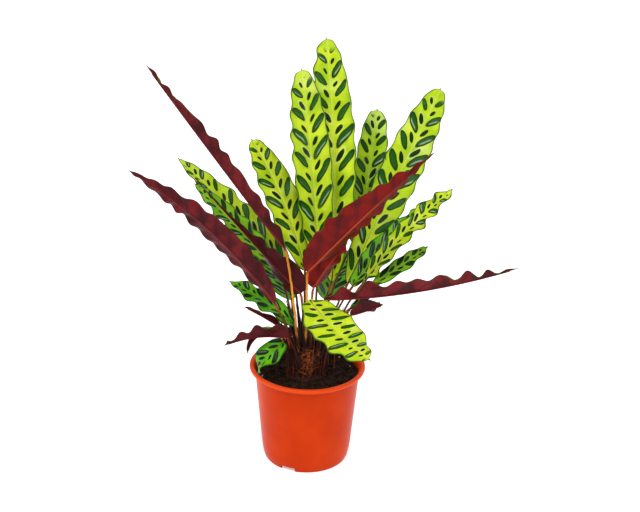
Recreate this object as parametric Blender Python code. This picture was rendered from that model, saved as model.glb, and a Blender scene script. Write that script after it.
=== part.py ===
# Potted calathea: a nursery pot, potting soil, and 26 leaves that rise from one crown.
# Metres, +Z up. The origin is the centre of the pot's foot, on the surface it stands on.
from collections import namedtuple
from math import cos, pi, radians, sin

import bmesh
import bpy
from mathutils import Matrix, Vector

GAP = 0.0003                # clearance between pieces that rest on each other

# pot
POT_HEIGHT = 0.123
RIM_RADIUS = 0.070
RIM_INNER_RADIUS = 0.065
LIP_HEIGHT = 0.0055
WALL_TOP_RADIUS = 0.0635    # outside of the wall, just under the lip
WALL_LOW_RADIUS = 0.0545    # outside of the wall, above the rounded bottom edge
WALL_LOW_Z = 0.017
FOOT_RADIUS = 0.0505
FOOT_WIDTH = 0.0020
WALL = 0.0016
FLOOR_Z = 0.0060            # underside of the pot's floor
TURN_STEPS = 48
NOTCH_ANGLES = (246, 6, 126)
NOTCH_WIDTH = 0.0185
NOTCH_HEIGHT = 0.0058
CENTRE_FOOT_RADIUS = 0.0085  # the floor dips down to stand on its middle too
DRAIN_HOLE_RADIUS = 0.0045
DRAIN_CIRCLE_RADIUS = 0.028
DRAIN_HOLES = 4

# soil and crown
SOIL_TOP = 0.112
SOIL_EDGE_DROP = 0.0008
SOIL_SWELL = 0.0010         # height of the low heaps in the soil
CROWN_CENTRE = (-0.002, -0.007)
CROWN_RADIUS = 0.0262
CROWN_HEIGHT = 0.0057
CROWN_TOP = SOIL_TOP + GAP + CROWN_HEIGHT

# stalks stand on the crown in staggered rows
STALK_SPACING = 0.0074
ROW_SPACING = STALK_SPACING * 0.866
STALK_SIDES = 6
STALK_STEPS = 7
STALK_FOOT_RADIUS = 0.0029
STALK_NECK_RADIUS = 0.0014

# blades
BLADE_THICKNESS = 0.0008
BLADE_STEPS = 14
BLADE_COLUMNS = 4
BLADE_BASE_POWER = 0.55     # how fast a blade widens from its base
BLADE_END = 0.012           # a blade's ends are as wide as it is this share of its length in
CROSS_ARCH = 0.15           # how much each half of a blade curves down towards its margin

LEAF_GREEN = (0.43, 0.58, 0.05, 1)
STALK_BROWN = (0.23, 0.10, 0.04, 1)

# How each leaf grew. Angles are in degrees: azimuth from +X towards +Y, lean from upright.
# cell: column and row of its foot on the crown. stalk: length, azimuth, lean at foot and neck.
# blade: length, azimuth at neck and tip, lean at neck and tip. roll turns the blade about its
# midrib and fold raises its two halves, both at neck and tip. taper: 0.4 blunt, 1 pointed tip.
Leaf = namedtuple("Leaf", "cell stalk blade width roll fold taper")
LEAVES = {
    "tall_back": Leaf((0, 1), (110, 31, 8, 23), (290, 74, 144, 12, 8), 52, (0, -20), (24, 8), 0.4),
    "tall_front": Leaf((1, 0), (125, 60, 2, 7), (240, 106, 147, 10, 10), 50, (0, -20), (24, 8), 0.4),
    "upright_left": Leaf((-1, 1), (128, 288, 1, 2), (168, 137, 150, 19, 40), 42, (-30, -30), (20, 10), 0.5),
    "far_mid": Leaf((1, 2), (157, 44, 12, 36), (165, 50, 71, 24, 10), 38, (20, 10), (20, 8), 0.4),
    "big_right": Leaf((2, 2), (109, 23, 10, 29), (258, 45, 23, 33, 26), 50, (35, 55), (20, 10), 0.45),
    "long_left": Leaf((-1, -2), (170, 222, 4, 12), (270, 203, 193, 35, 34), 30, (15, 25), (50, 50), 0.9),
    "low_left": Leaf((-2, -1), (111, 229, 10, 31), (249, 206, 204, 32, 53), 36, (50, 60), (36, 24), 0.9),
    "mid_left": Leaf((-1, 3), (114, 127, 6, 19), (193, 160, 170, 49, 48), 42, (-25, -25), (24, 24), 0.7),
    "under_left": Leaf((-1, 2), (121, 159, 7, 20), (146, 172, 175, 43, 45), 36, (-25, -25), (20, 20), 0.7),
    "twist_left": Leaf((0, 0), (108, 245, 4, 13), (188, 186, 185, 40, 40), 46, (60, 20), (20, 60), 3.0),
    "short_left": Leaf((-1, 0), (57, 145, 3, 8), (97, 173, 169, 49, 68), 31, (-15, -30), (16, 16), 0.75),
    "thin_left": Leaf((-1, -1), (55, 205, 7, 22), (69, 191, 191, 51, 60), 12, (30, 30), (60, 60), 0.9),
    "drop_left": Leaf((-1, -3), (58, 199, 9, 28), (81, 209, 196, 66, 110), 34, (40, 40), (40, 40), 0.9),
    "curl_left": Leaf((-3, -1), (45, 188, 5, 14), (63, 195, 203, 34, 181), 24, (30, 30), (40, 40), 0.9),
    "soil_left": Leaf((-2, -2), (50, 223, 9, 26), (53, 225, 167, 105, 169), 28, (-50, -10), (22, 14), 0.7),
    "big_front": Leaf((0, -2), (141, 269, 3, 9), (214, 342, 343, 39, 43), 56, (-42, -56), (34, 30), 1.4),
    "red_behind": Leaf((0, -1), (111, 340, 1, 2), (69, 8, 9, 28, 42), 42, (-60, -60), (30, 20), 0.8),
    "pale_right": Leaf((2, 1), (122, 354, 11, 33), (159, 1, -3, 31, 47), 30, (25, 40), (20, 12), 0.6),
    "dark_right": Leaf((1, 1), (113, 12, 11, 34), (130, 19, 1, 36, 43), 34, (25, 30), (20, 12), 0.8),
    "behind_right": Leaf((2, 0), (131, 357, 14, 42), (80, 5, 13, 54, 54), 22, (25, 30), (16, 16), 0.6),
    "long_right": Leaf((2, -2), (104, 300, 2, 8), (232, 344, 346, 80, 65), 42, (-22, -22), (50, 50), 1.05),
    "shade_right": Leaf((1, -1), (99, 348, 12, 36), (44, -2, 18, 51, 76), 16, (0, 0), (30, 30), 0.9),
    "small_right": Leaf((2, -1), (89, 345, 11, 34), (42, -18, 2, 66, 68), 33, (-45, -45), (30, 30), 0.6),
    "front_right": Leaf((1, -2), (115, 261, 7, 20), (105, 300, 340, 109, 123), 57, (0, 20), (10, 6), 0.6),
    "rear_left": Leaf((-2, 2), (80, 95, 17, 51), (102, 115, 147, 73, 45), 40, (0, 0), (16, 16), 0.6),
    "rear_right": Leaf((0, 3), (81, 68, 18, 54), (94, 77, 57, 83, 54), 40, (0, 0), (16, 16), 0.6),
}
MM = 0.001

# Dry sheaths of leaves that died back: cell, height, width and the azimuth that each one faces.
Sheath = namedtuple("Sheath", "cell height width azimuth lean")
SHEATHS = {
    "front": Sheath((0, -3), 34, 9, 270, 8),
    "back": Sheath((0, 2), 30, 7, 90, 10),
    "left": Sheath((-2, 1), 26, 6, 180, 8),
    "outer_left": Sheath((-2, 0), 22, 6, 190, 14),
}
SHEATH_THICKNESS = 0.0012
SHEATH_CURL = 0.0022        # how far its middle stands out from its two edges
SHEATH_STEPS = 5
SHEATH_COLUMNS = 4


def clear_scene():
    for old in list(bpy.data.objects):
        bpy.data.objects.remove(old)


def material(name, colour, roughness):
    made = bpy.data.materials.new(name)
    made.use_nodes = True
    shader = made.node_tree.nodes["Principled BSDF"]
    shader.inputs["Base Color"].default_value = colour
    shader.inputs["Roughness"].default_value = roughness
    shader.inputs["Metallic"].default_value = 0.0
    return made


def add_object(name, bm, colour, roughness):
    mesh = bpy.data.meshes.new(name)
    bm.to_mesh(mesh)
    bm.free()
    mesh.shade_smooth()
    mesh.set_sharp_from_angle(angle=radians(40))
    obj = bpy.data.objects.new(name, mesh)
    obj.data.materials.append(material(name, colour, roughness))
    bpy.context.scene.collection.objects.link(obj)
    return obj


def turned(profile):
    # The profile is a list of radius and height that starts and ends on the axis.
    bm = bmesh.new()
    verts = [bm.verts.new((r, 0, z)) for r, z in profile]
    edges = [bm.edges.new(pair) for pair in zip(verts, verts[1:])]
    bmesh.ops.spin(bm, geom=verts + edges, axis=(0, 0, 1), cent=(0, 0, 0), angle=2 * pi,
                   steps=TURN_STEPS, use_merge=True)
    bmesh.ops.remove_doubles(bm, verts=bm.verts, dist=1e-6)
    bmesh.ops.recalc_face_normals(bm, faces=bm.faces)
    return bm


def wall_radius(z):
    # Outside radius of the tapered wall at height z.
    share = (z - WALL_LOW_Z) / (POT_HEIGHT - LIP_HEIGHT - WALL_LOW_Z)
    return WALL_LOW_RADIUS + (WALL_TOP_RADIUS - WALL_LOW_RADIUS) * share


def cutter(name, bm, place):
    mesh = bpy.data.meshes.new(name)
    bm.to_mesh(mesh)
    bm.free()
    obj = bpy.data.objects.new(name, mesh)
    obj.matrix_world = place
    obj.hide_render = True
    obj.display_type = "WIRE"
    bpy.context.scene.collection.objects.link(obj)
    return obj


def cut(obj, tool):
    boolean = obj.modifiers.new(tool.name, "BOOLEAN")
    boolean.operation = "DIFFERENCE"
    boolean.solver = "EXACT"
    boolean.object = tool


def make_pot():
    lip_z = POT_HEIGHT - LIP_HEIGHT
    round_edge = [(FOOT_RADIUS, 0), (FOOT_RADIUS + 0.0014, 0.003), (FOOT_RADIUS + 0.0028, 0.009)]
    underside = [(0, 0), (CENTRE_FOOT_RADIUS, 0), (CENTRE_FOOT_RADIUS + 0.003, FLOOR_Z),
                 (FOOT_RADIUS - FOOT_WIDTH, FLOOR_Z), (FOOT_RADIUS - FOOT_WIDTH, 0)]
    outside = round_edge + [(WALL_LOW_RADIUS, WALL_LOW_Z), (wall_radius(lip_z - 0.004), lip_z - 0.004)]
    flare = [(WALL_TOP_RADIUS + 0.0010, lip_z - 0.0012), (RIM_RADIUS - 0.0030, lip_z + 0.0004)]
    lip = [(RIM_RADIUS - 0.0004, lip_z + 0.0008), (RIM_RADIUS, lip_z + 0.0018),
           (RIM_RADIUS, POT_HEIGHT - 0.0014), (RIM_RADIUS - 0.0010, POT_HEIGHT),
           (RIM_INNER_RADIUS + 0.0012, POT_HEIGHT), (RIM_INNER_RADIUS, POT_HEIGHT - 0.0012)]
    inside = [(wall_radius(lip_z) - WALL, lip_z - 0.001), (wall_radius(lip_z - 0.006) - WALL, lip_z - 0.006),
              (WALL_LOW_RADIUS - WALL, WALL_LOW_Z), (FOOT_RADIUS - WALL + 0.001, FLOOR_Z + WALL + 0.002),
              (FOOT_RADIUS - FOOT_WIDTH, FLOOR_Z + WALL)]
    floor = [(CENTRE_FOOT_RADIUS + 0.002, FLOOR_Z + WALL), (CENTRE_FOOT_RADIUS - 0.001, WALL), (0, WALL)]
    bm = turned(underside + outside + flare + lip + inside + floor)
    pot = add_object("pot", bm, (0.66, 0.07, 0.012, 1), 0.35)
    for number, angle in enumerate(NOTCH_ANGLES, 1):
        bm = bmesh.new()
        bmesh.ops.create_cube(bm, size=1)
        size = Matrix.Diagonal((0.012, NOTCH_WIDTH, 2 * NOTCH_HEIGHT, 1))
        bmesh.ops.transform(bm, matrix=size, verts=bm.verts)
        place = Matrix.Rotation(radians(angle), 4, "Z") @ Matrix.Translation((FOOT_RADIUS, 0, 0))
        cut(pot, cutter(f"foot_notch_cutter_{number}", bm, place))
    for number in range(DRAIN_HOLES):
        bm = bmesh.new()
        bmesh.ops.create_cone(bm, cap_ends=True, segments=16, radius1=DRAIN_HOLE_RADIUS,
                              radius2=DRAIN_HOLE_RADIUS, depth=4 * WALL)
        angle = 2 * pi * (number + 0.5) / DRAIN_HOLES
        place = Matrix.Translation((DRAIN_CIRCLE_RADIUS * cos(angle), DRAIN_CIRCLE_RADIUS * sin(angle),
                                    FLOOR_Z + WALL / 2))
        cut(pot, cutter(f"drain_hole_cutter_{number + 1}", bm, place))


def make_soil():
    low = FLOOR_Z + WALL + GAP
    edge_z = SOIL_TOP - SOIL_EDGE_DROP
    inner = WALL + GAP
    profile = [(0, low), (FOOT_RADIUS - FOOT_WIDTH - GAP, low),
               (FOOT_RADIUS - WALL + 0.001 - GAP, low + 0.002),
               (WALL_LOW_RADIUS - inner, WALL_LOW_Z + GAP),
               (wall_radius(edge_z) - inner - 0.0001, edge_z),
               (0.054, SOIL_TOP), (0.046, SOIL_TOP), (0.038, SOIL_TOP), (0.031, SOIL_TOP), (0, SOIL_TOP)]
    bm = turned(profile)
    for vert in bm.verts:
        x, y, z = vert.co
        if z > SOIL_TOP - GAP and 0.034 < Vector((x, y)).length < 0.058:
            vert.co.z += SOIL_SWELL * sin(190 * x + 1) * sin(230 * y)
    add_object("potting_soil", bm, (0.014, 0.007, 0.004, 1), 0.95)


def make_crown():
    low = SOIL_TOP + GAP
    profile = [(0, low), (CROWN_RADIUS - 0.0008, low), (CROWN_RADIUS, low + 0.3 * CROWN_HEIGHT),
               (CROWN_RADIUS - 0.0012, low + 0.8 * CROWN_HEIGHT),
               (CROWN_RADIUS - 0.0030, CROWN_TOP), (0, CROWN_TOP)]
    bm = turned(profile)
    bmesh.ops.translate(bm, vec=(*CROWN_CENTRE, 0), verts=bm.verts)
    add_object("crown", bm, (0.07, 0.024, 0.009, 1), 0.9)


def direction(lean, azimuth):
    lean, azimuth = radians(lean), radians(azimuth)
    return Vector((sin(lean) * cos(azimuth), sin(lean) * sin(azimuth), cos(lean)))


def foot_place(cell):
    column, row = cell
    return Vector((CROWN_CENTRE[0] + STALK_SPACING * (column + 0.5 * (row % 2)),
                   CROWN_CENTRE[1] + ROW_SPACING * row, CROWN_TOP + GAP))


def grown_path(start, length, azimuths, leans, steps):
    # Points along a stalk or midrib whose azimuth and lean change evenly along it.
    points = [start]
    for step in range(steps):
        share = (step + 0.5) / steps
        azimuth = azimuths[0] + (azimuths[1] - azimuths[0]) * share
        lean = leans[0] + (leans[1] - leans[0]) * share
        points.append(points[-1] + direction(lean, azimuth) * (length / steps))
    return points


def stalk_path(leaf):
    length, azimuth, foot_lean, neck_lean = leaf.stalk
    return grown_path(foot_place(leaf.cell), length * MM, (azimuth, azimuth), (foot_lean, neck_lean),
                      STALK_STEPS)


def make_stalk(name, leaf):
    # A tapered stalk that stands level on the crown and ends square to its blade.
    path = stalk_path(leaf)
    length, azimuth, foot_lean, neck_lean = leaf.stalk
    blade_way = direction(leaf.blade[3], leaf.blade[1])
    ways = [direction(foot_lean + (neck_lean - foot_lean) * i / STALK_STEPS, azimuth)
            for i in range(STALK_STEPS + 1)]
    ways[0] = Vector((0, 0, 1))
    ways[-1] = blade_way
    ways[-2] = (ways[-2] + blade_way * 0.5).normalized()
    bm = bmesh.new()
    bmesh.ops.create_circle(bm, cap_ends=True, segments=STALK_SIDES, radius=1)
    frames = []
    for i, (point, way) in enumerate(zip(path, ways)):
        share = i / STALK_STEPS
        radius = STALK_FOOT_RADIUS + (STALK_NECK_RADIUS - STALK_FOOT_RADIUS) * share ** 0.8
        turn = Vector((0, 0, 1)).rotation_difference(way).to_matrix().to_4x4()
        frames.append(Matrix.Translation(point) @ turn @ Matrix.Scale(radius, 4))
    bmesh.ops.transform(bm, matrix=frames[0], verts=bm.verts)
    end = bm.faces[:][0]
    for last, this in zip(frames, frames[1:]):
        made = bmesh.ops.extrude_face_region(bm, geom=[end])["geom"]
        if last is not frames[0]:
            bmesh.ops.delete(bm, geom=[end], context="FACES_ONLY")
        end = next(item for item in made if isinstance(item, bmesh.types.BMFace))
        bmesh.ops.transform(bm, matrix=this @ last.inverted(), verts=end.verts)
    bmesh.ops.recalc_face_normals(bm, faces=bm.faces)
    add_object("stalk_" + name, bm, STALK_BROWN, 0.5)


def half_width(leaf, share):
    # A blade widens quickly from its base, then narrows to a blunt or pointed tip.
    widest = BLADE_BASE_POWER / (BLADE_BASE_POWER + leaf.taper)
    share = min(max(share, BLADE_END), 1 - BLADE_END)
    shape = (share / widest) ** BLADE_BASE_POWER * ((1 - share) / (1 - widest)) ** leaf.taper
    return leaf.width * MM / 2 * shape


def mixed(pair, share):
    return pair[0] + (pair[1] - pair[0]) * share


def make_blade(name, leaf):
    length, azimuth_0, azimuth_1, lean_0, lean_1 = leaf.blade
    start = stalk_path(leaf)[-1] + direction(lean_0, azimuth_0) * GAP
    midrib = grown_path(start, length * MM, (azimuth_0, azimuth_1), (lean_0, lean_1), BLADE_STEPS)
    bm = bmesh.new()
    bmesh.ops.create_grid(bm, x_segments=BLADE_STEPS, y_segments=BLADE_COLUMNS, size=1)
    for vert in bm.verts:
        share = (vert.co.x + 1) / 2
        across = vert.co.y
        azimuth = mixed((azimuth_0, azimuth_1), share)
        way = direction(mixed((lean_0, lean_1), share), azimuth)
        level = Vector((-sin(radians(azimuth)), cos(radians(azimuth)), 0))
        roll = Matrix.Rotation(radians(mixed(leaf.roll, share)), 3, way)
        side = roll @ level
        upper = roll @ way.cross(level)
        fold = radians(mixed(leaf.fold, share))
        half = half_width(leaf, share)
        rise = half * abs(across) * (sin(fold) - CROSS_ARCH * abs(across))
        vert.co = midrib[round(share * BLADE_STEPS)] + side * half * across * cos(fold) + upper * rise
    bmesh.ops.recalc_face_normals(bm, faces=bm.faces)
    blade = add_object("blade_" + name, bm, LEAF_GREEN, 0.4)
    solidify = blade.modifiers.new("thickness", "SOLIDIFY")
    solidify.thickness = BLADE_THICKNESS
    solidify.offset = 0


def make_sheath(name, sheath):
    # A short papery scale, curved round the stalks behind it and narrowing to a point.
    foot = foot_place(sheath.cell)
    way = direction(sheath.lean, sheath.azimuth)
    level = Vector((-sin(radians(sheath.azimuth)), cos(radians(sheath.azimuth)), 0))
    outward = level.cross(way)
    bm = bmesh.new()
    bmesh.ops.create_grid(bm, x_segments=SHEATH_STEPS, y_segments=SHEATH_COLUMNS, size=1)
    for vert in bm.verts:
        share = (vert.co.x + 1) / 2
        across = vert.co.y
        half = sheath.width * MM / 2 * (1 - 0.8 * share ** 2)
        vert.co = (foot + Vector((0, 0, SHEATH_THICKNESS / 2)) + way * sheath.height * MM * share
                   + level * half * across + outward * SHEATH_CURL * (1 - across ** 2))
    bmesh.ops.recalc_face_normals(bm, faces=bm.faces)
    scale = add_object("dry_sheath_" + name, bm, (0.25, 0.09, 0.035, 1), 0.85)
    solidify = scale.modifiers.new("thickness", "SOLIDIFY")
    solidify.thickness = SHEATH_THICKNESS
    solidify.offset = 0


def main():
    clear_scene()
    make_pot()
    make_soil()
    make_crown()
    for name, leaf in LEAVES.items():
        make_stalk(name, leaf)
        make_blade(name, leaf)
    for name, sheath in SHEATHS.items():
        make_sheath(name, sheath)


main()
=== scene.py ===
# Potted calathea: leaves, stalks, crown, soil and nursery pot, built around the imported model.
import random
from math import cos, exp, pi, radians, sin, sqrt

import bmesh
import bpy
from mathutils import Matrix, Vector, noise


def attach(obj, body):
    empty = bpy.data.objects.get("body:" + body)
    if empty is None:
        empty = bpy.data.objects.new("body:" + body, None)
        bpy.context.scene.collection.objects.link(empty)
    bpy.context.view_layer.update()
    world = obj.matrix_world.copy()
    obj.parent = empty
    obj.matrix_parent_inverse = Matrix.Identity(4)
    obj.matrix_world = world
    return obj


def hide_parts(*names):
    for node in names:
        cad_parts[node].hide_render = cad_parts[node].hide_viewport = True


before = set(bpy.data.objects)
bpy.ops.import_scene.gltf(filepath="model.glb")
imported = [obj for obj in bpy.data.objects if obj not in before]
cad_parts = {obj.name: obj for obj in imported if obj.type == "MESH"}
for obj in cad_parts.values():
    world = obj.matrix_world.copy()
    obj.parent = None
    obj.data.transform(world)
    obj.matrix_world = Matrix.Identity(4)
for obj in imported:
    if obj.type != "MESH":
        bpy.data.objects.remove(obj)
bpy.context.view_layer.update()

mm = 0.001
up = Vector((0, 0, 1))


def paint(red, green, blue):                 # a 0-255 paint colour as linear light
    def linear(value):
        value = value / 255
        return value / 12.92 if value <= 0.04045 else ((value + 0.055) / 1.055) ** 2.4
    return (linear(red), linear(green), linear(blue), 1)


class Wire:                                  # an output that can be used in a sum
    def __init__(self, finish, socket):
        self.finish = finish
        self.socket = socket

    def maths(self, operation, *values):
        return self.finish.add("ShaderNodeMath", {"operation": operation}, dict(enumerate(values)))

    def __add__(self, other):
        return self.maths("ADD", self, other)

    def __radd__(self, other):
        return self.maths("ADD", other, self)

    def __sub__(self, other):
        return self.maths("SUBTRACT", self, other)

    def __rsub__(self, other):
        return self.maths("SUBTRACT", other, self)

    def __mul__(self, other):
        return self.maths("MULTIPLY", self, other)

    def __rmul__(self, other):
        return self.maths("MULTIPLY", other, self)

    def __truediv__(self, other):
        return self.maths("DIVIDE", self, other)

    def __pow__(self, other):
        return self.maths("POWER", self, other)

    def __abs__(self):
        return self.maths("ABSOLUTE", self)

    def __gt__(self, other):
        return self.maths("GREATER_THAN", self, other)

    def floor(self):
        return self.maths("FLOOR", self)

    def sine(self):
        return self.maths("SINE", self)

    def most(self, other):
        return self.maths("MAXIMUM", self, other)

    def ease(self, start, end):              # 0 before start, 1 after end, smooth between
        sockets = {"Value": self, "From Min": start, "From Max": end}
        return self.finish.add("ShaderNodeMapRange", {"interpolation_type": "SMOOTHSTEP"}, sockets)


class Finish:                                # one material and its nodes
    def __init__(self, name, **uniform):
        self.material = bpy.data.materials.new(name)
        self.material.use_nodes = True
        self.nodes = self.material.node_tree.nodes
        self.links = self.material.node_tree.links
        self.shader = self.nodes["Principled BSDF"]
        for label, value in uniform.items():
            self.shader.inputs[label.replace("_", " ")].default_value = value

    def add(self, kind, settings=None, sockets=None, give=0):
        node = self.nodes.new(kind)
        for label, value in (settings or {}).items():
            setattr(node, label, value)
        for label, value in (sockets or {}).items():
            self.feed(node.inputs[label], value)
        return Wire(self, node.outputs[give])

    def feed(self, socket, value):
        if isinstance(value, Wire):
            self.links.new(value.socket, socket)
        else:
            socket.default_value = value

    def grown(self, name, give="Fac"):       # a value that was kept with the mesh
        return self.add("ShaderNodeAttribute", {"attribute_name": name}, give=give)

    def place(self):
        return self.add("ShaderNodeTexCoord", give="Object")

    def stretched(self, where, alongZ):      # for strands that run along Z
        return self.add("ShaderNodeVectorMath", {"operation": "MULTIPLY"}, {0: where, 1: (1, 1, alongZ)})

    def cloud(self, where, scale, detail=3, roughness=0.5):
        sockets = {"Vector": where, "Scale": scale, "Detail": detail, "Roughness": roughness}
        return self.add("ShaderNodeTexNoise", {}, sockets)

    def luck(self, number):                  # one random value for each whole number
        return self.add("ShaderNodeTexWhiteNoise", {"noise_dimensions": "1D"}, {"W": number})

    def blend(self, amount, first, second):
        return self.add("ShaderNodeMix", {"data_type": "RGBA"}, {0: amount, 6: first, 7: second}, give=2)

    def coated(self, colour, *coats):        # coats laid over a colour, one after another
        for amount, coat in coats:
            colour = self.blend(amount, colour, coat)
        return colour

    def relief(self, height, distance, strength=1.0):
        sockets = {"Height": height, "Distance": distance, "Strength": strength}
        return self.add("ShaderNodeBump", {}, sockets)

    def show(self, **outputs):
        for label, value in outputs.items():
            self.feed(self.shader.inputs[label.replace("_", " ")], value)
        return self.material


def meshFrom(name, bm):
    mesh = bpy.data.meshes.new(name)
    bm.to_mesh(mesh)
    bm.free()
    return mesh


def addObject(name, data):
    made = bpy.data.objects.new(name, data)
    bpy.context.scene.collection.objects.link(made)
    return made


def addPiece(name, bm, materials, replaced, sharpAngle=None, closed=True):
    if closed:
        bmesh.ops.recalc_face_normals(bm, faces=bm.faces)
    mesh = meshFrom(name, bm)
    mesh.shade_smooth()
    if sharpAngle:
        mesh.set_sharp_from_angle(angle=radians(sharpAngle))
    piece = addObject(name, mesh)
    for each in materials:
        mesh.materials.append(each)
    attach(piece, "root")
    if replaced:
        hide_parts(*replaced)
    return piece


def thicken(piece, thickness, offset):
    skin = piece.modifiers.new("thickness", "SOLIDIFY")
    skin.thickness = thickness
    skin.offset = offset
    return skin


def keep(bm, *names):                        # values kept at each point for the materials
    return [bm.verts.layers.float.new(name) for name in names]


def sweepTube(bm, points, radii, sides, mark):
    # A closed tube: a grid is rolled round the points, and both ends are drawn to a point.
    last = len(points) - 1
    ways = [(points[min(i + 1, last)] - points[max(i - 1, 0)]).normalized() for i in range(last + 1)]
    spans = []
    side = Vector((1, 0.13, 0.07))
    for way in ways:
        side = (side - way * side.dot(way)).normalized()
        spans.append((side.copy(), way.cross(side)))
    points = [points[0]] + points + [points[last]]
    radii = [0] + radii + [0]
    spans = [spans[0]] + spans + [spans[-1]]
    made = bmesh.ops.create_grid(bm, x_segments=last + 2, y_segments=sides, size=1)["verts"]
    for vert in made:
        i = round((vert.co.x + 1) / 2 * (last + 2))
        angle = pi * (vert.co.y + 1)
        first, second = spans[i]
        mark(vert, min(max(i - 1, 0), last) / last, angle)
        vert.co = points[i] + (first * cos(angle) + second * sin(angle)) * radii[i]
    bmesh.ops.remove_doubles(bm, verts=made, dist=1e-7)


def turned(profile, steps):                  # a profile of radius and height, spun round Z
    bm = bmesh.new()
    verts = [bm.verts.new((radius, 0, z)) for radius, z in profile]
    edges = [bm.edges.new(pair) for pair in zip(verts, verts[1:])]
    bmesh.ops.spin(bm, geom=verts + edges, axis=(0, 0, 1), cent=(0, 0, 0), angle=2 * pi, steps=steps,
                   use_merge=True)
    bmesh.ops.remove_doubles(bm, verts=bm.verts, dist=1e-6)
    return bm


def onRing(radius, angle, z=0):
    return Vector((radius * cos(angle), radius * sin(angle), z))


def direction(lean, azimuth):
    lean, azimuth = radians(lean), radians(azimuth)
    return Vector((sin(lean) * cos(azimuth), sin(lean) * sin(azimuth), cos(lean)))


def grownPath(start, length, azimuths, leans, steps):
    points = [start]
    for step in range(steps):
        share = (step + 0.5) / steps
        way = direction(mixed(leans, share), mixed(azimuths, share))
        points.append(points[-1] + way * (length / steps))
    return points


def mixed(pair, share):
    return pair[0] + (pair[1] - pair[0]) * share


def along(points, share):                    # the place at a share of the way along the points
    spot = min(max(share, 0), 1) * (len(points) - 1)
    i = min(int(spot), len(points) - 2)
    return points[i].lerp(points[i + 1], spot - i)


# The numbers of a leaf, in mm and degrees.
# cell: where the stalk stands on the crown. stalk: length, azimuth, lean at foot and neck.
# blade: length, azimuth at neck and tip, lean at neck and tip. roll and fold: at neck and tip.
# ripple: how far the margin waves, in mm. shade: 0 sunlit lime, 1 deep green. orange: stalk tone,
# and gold: midrib tone. slope: how far a vein runs forward as it runs out to the margin.
# spacing: between the long ovals, in mm. halves: how wide each half is, as a share. stout: how
# thick the ovals are. crumple: how uneven the blade is, in mm. lobes and scallop: how often and how
# far the margin goes in and out.

def leaf(cell, stalk, blade, width, roll, fold, taper, **looks):
    plan = dict(cell=cell, stalk=stalk, blade=blade, width=width, roll=roll, fold=fold, taper=taper,
                ripple=2.0, shade=0.15, orange=0.1, gold=0.1, slope=1.05, spacing=11 + 0.36 * width,
                halves=(1, 1), stout=1.0, crumple=0.9, lobes=1, scallop=0.05)
    plan.update(looks)
    for both in ("slope", "scallop"):
        if not isinstance(plan[both], tuple):
            plan[both] = (plan[both], plan[both])
    return plan


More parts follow.
